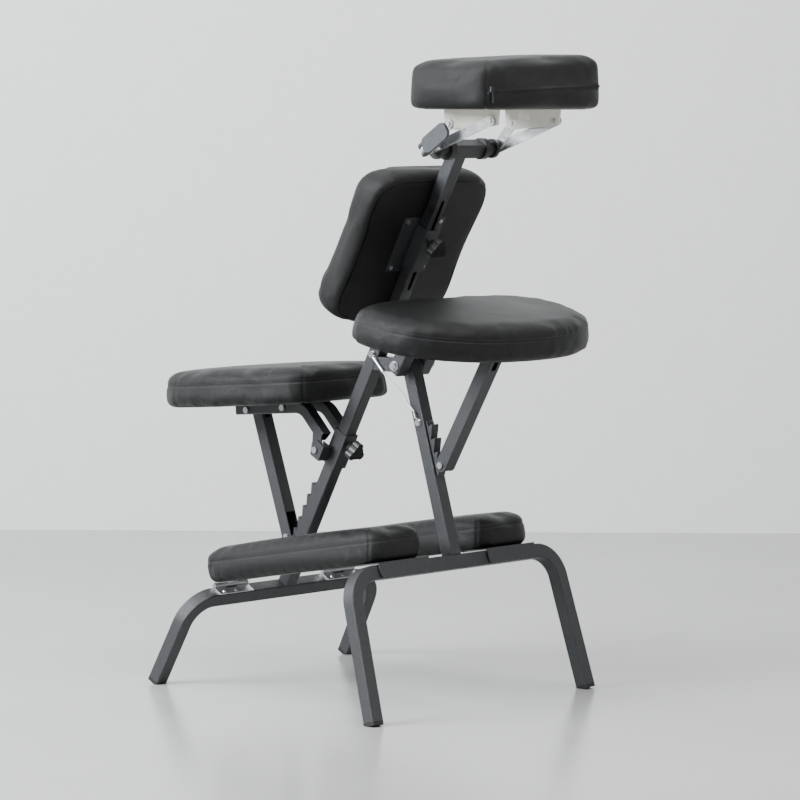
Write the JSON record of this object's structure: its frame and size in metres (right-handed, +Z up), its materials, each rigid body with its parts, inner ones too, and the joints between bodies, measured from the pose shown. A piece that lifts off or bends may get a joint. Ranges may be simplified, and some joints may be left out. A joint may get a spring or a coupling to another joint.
{
  "type": "kneeling massage chair",
  "caption": "Kneeling massage chair on a folding steel frame, with a saddle seat, knee rests, a chest pad, a tilting arm rest and an adjustable padded head rest.",
  "frame": {"origin": "centre of the object's box at floor level, on its middle plane", "axes": "+Z up, +X from the seat towards the arm rest, +Y across the chair; the chair is symmetric about Y = 0 apart from the cam lever and the cable"},
  "size_m": [1.0121, 0.672, 1.3163],
  "materials": {
    "hammertone_steel": "hammertone powder coat, satin",
    "zinc_steel": "bright zinc plated",
    "track_steel": "smooth black, worn bright at the edges",
    "lever_aluminium": "bright brushed",
    "ivory_plastic": "satin moulded",
    "black_plastic": "fine texture",
    "grey_plastic": "fine texture",
    "foot_rubber": "matt",
    "upholstery": "grained artificial leather, soft sheen",
    "plywood_black": "black cloth dust cover over plywood",
    "felt": "black felt",
    "cable_coat": "white plastic coated wire"
  },
  "bodies": {
    "rear_frame": {"rear_leg_frame": "hammertone_steel", "rear_post": "hammertone_steel", "rear_feet": "foot_rubber", "seat_rack": "hammertone_steel", "hinge_arm": "hammertone_steel", "hinge_axle": "zinc_steel", "chest_track": "track_steel", "track_bolt": "zinc_steel", "safety_cable": "cable_coat", "cable_end_top": "zinc_steel", "knee_fixed_leaves": "zinc_steel", "knee_hinge_screws": "zinc_steel", "knee_hinge_pins": "zinc_steel"},
    "front_frame": {"front_leg_frame": "hammertone_steel", "front_post": "hammertone_steel", "front_feet": "foot_rubber", "arm_rack": "hammertone_steel", "cable_screw": "zinc_steel", "cable_end_low": "zinc_steel"},
    "knee_left": {"knee_pad_left": "upholstery", "knee_board_left": "plywood_black", "knee_leaf_left": "zinc_steel", "knee_hook_left": "hammertone_steel"},
    "knee_right": {"knee_pad_right": "upholstery", "knee_board_right": "plywood_black", "knee_leaf_right": "zinc_steel", "knee_hook_right": "hammertone_steel"},
    "seat_slider": {"seat_carriage": "hammertone_steel", "seat_pivot_bolt": "zinc_steel"},
    "seat_clamp": {"seat_knob": "black_plastic"},
    "seat": {"seat_arms": "hammertone_steel", "seat_board": "plywood_black", "seat_pad": "upholstery", "seat_strut_bolt": "zinc_steel", "seat_tie_bolt": "zinc_steel"},
    "seat_prop": {"seat_strut": "hammertone_steel", "seat_catch_pin": "zinc_steel"},
    "arm_rest": {"arm_bracket": "hammertone_steel", "arm_board": "plywood_black", "arm_pad": "upholstery", "arm_clevis": "hammertone_steel", "arm_strut_bolt": "zinc_steel"},
    "arm_prop": {"arm_strut": "hammertone_steel", "arm_catch_pin": "zinc_steel"},
    "chest_rest": {"chest_bracket": "hammertone_steel", "chest_board": "felt", "chest_pad": "upholstery", "chest_screws": "zinc_steel", "chest_nut": "zinc_steel"},
    "chest_clamp": {"chest_knob": "black_plastic"},
    "head_mast": {"head_post": "track_steel", "head_cross_tube": "hammertone_steel", "clutch_bushes": "black_plastic"},
    "face_cradle": {"cradle_levers": "lever_aluminium", "cradle_platform": "ivory_plastic", "cradle_rivets": "zinc_steel", "cradle_axle_rod": "zinc_steel", "head_cushion": "upholstery"},
    "cam": {"cam_lever": "grey_plastic"}
  },
  "joints": [
    {"name": "frame_fold", "type": "hinge", "parent": "rear_frame", "child": "front_frame", "pos_m": [0.13325, 0, 0.69214], "axis": [0, 1, 0], "range_deg": [0, 32], "deforming": ["safety_cable"]},
    {"name": "knee_left_lift", "type": "hinge", "parent": "rear_frame", "child": "knee_left", "pos_m": [-0.24314, -0.158, 0.211], "axis": [0, -1, 0], "range_deg": [0, 32]},
    {"name": "knee_right_lift", "type": "hinge", "parent": "rear_frame", "child": "knee_right", "pos_m": [-0.24314, 0.158, 0.211], "axis": [0, -1, 0], "range_deg": [0, 32]},
    {"name": "seat_height", "type": "slide", "parent": "rear_frame", "child": "seat_slider", "axis": [0.4679, 0, 0.8838], "range_m": [0, 0.04]},
    {"name": "seat_clamp_turn", "type": "hinge", "parent": "seat_slider", "child": "seat_clamp", "pos_m": [-0.06707, 0, 0.51789], "axis": [0.8838, 0, -0.4679], "range_deg": [0, 360]},
    {"name": "seat_tilt", "type": "hinge", "parent": "seat_slider", "child": "seat", "pos_m": [-0.10373, 0, 0.49995], "axis": [0, 1, 0], "range_deg": [-7, 7]},
    {"name": "seat_prop_swing", "type": "hinge", "parent": "seat", "child": "seat_prop", "pos_m": [-0.31793, 0, 0.56986], "axis": [0, 1, 0], "range_deg": [-9, 9]},
    {"name": "arm_rest_tilt", "type": "hinge", "parent": "rear_frame", "child": "arm_rest", "pos_m": [0.13325, 0, 0.69214], "axis": [0, -1, 0], "range_deg": [0, 13]},
    {"name": "arm_prop_swing", "type": "hinge", "parent": "arm_rest", "child": "arm_prop", "pos_m": [0.36159, 0, 0.71922], "axis": [0, -1, 0], "range_deg": [-16, 0]},
    {"name": "chest_height", "type": "slide", "parent": "rear_frame", "child": "chest_rest", "axis": [0.4679, 0, 0.8838], "range_m": [-0.05, 0.05]},
    {"name": "chest_clamp_turn", "type": "hinge", "parent": "chest_rest", "child": "chest_clamp", "pos_m": [0.16502, 0, 0.95623], "axis": [0.8838, 0, -0.4679], "range_deg": [0, 360]},
    {"name": "head_height", "type": "slide", "parent": "rear_frame", "child": "head_mast", "axis": [0.4679, 0, 0.8838], "range_m": [0, 0.05]},
    {"name": "cradle_tilt", "type": "hinge", "parent": "head_mast", "child": "face_cradle", "pos_m": [0.2794, 0, 1.14234], "axis": [0, 1, 0], "range_deg": [-25, 35]},
    {"name": "cam_swing", "type": "hinge", "parent": "face_cradle", "child": "cam", "pos_m": [0.2794, -0.118, 1.14234], "axis": [0.5446, 0, -0.8387], "range_deg": [0, 90]}
  ],
  "couplings": [
    {"joint": "knee_left_lift", "follows": "frame_fold", "ratio": 1},
    {"joint": "knee_right_lift", "follows": "frame_fold", "ratio": 1},
    {"joint": "seat_prop_swing", "follows": "seat_tilt", "ratio": -1.2},
    {"joint": "arm_prop_swing", "follows": "arm_rest_tilt", "ratio": -1.085}
  ]
}
